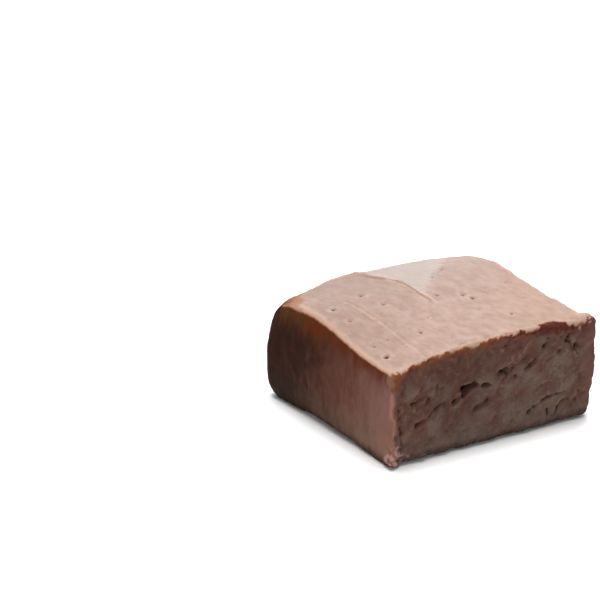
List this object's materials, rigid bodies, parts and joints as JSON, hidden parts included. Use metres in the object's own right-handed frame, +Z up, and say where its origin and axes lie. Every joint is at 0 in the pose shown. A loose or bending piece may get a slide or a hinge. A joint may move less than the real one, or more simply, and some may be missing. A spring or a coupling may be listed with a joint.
{
  "type": "chocolate fudge square",
  "caption": "Hand-cut square of chocolate fudge, domed and slightly slumped, with knife-cut and torn crumbly sides, resting on its flat base.",
  "frame": {"origin": "middle of the flat underside's level, centred on the piece's bounding box", "axes": "+Z up out of the top, +X along the longer side, -Y out of the torn front face, -X out of the knife-cut face"},
  "size_m": [0.0474, 0.0406, 0.0222],
  "materials": {
    "fudge": "dense grainy fudge: satin on the skin of the top, slightly greasy on the knife cuts, dull and crumbly where torn"
  },
  "bodies": {
    "root": {"fudge_square": "fudge"}
  },
  "joints": []
}
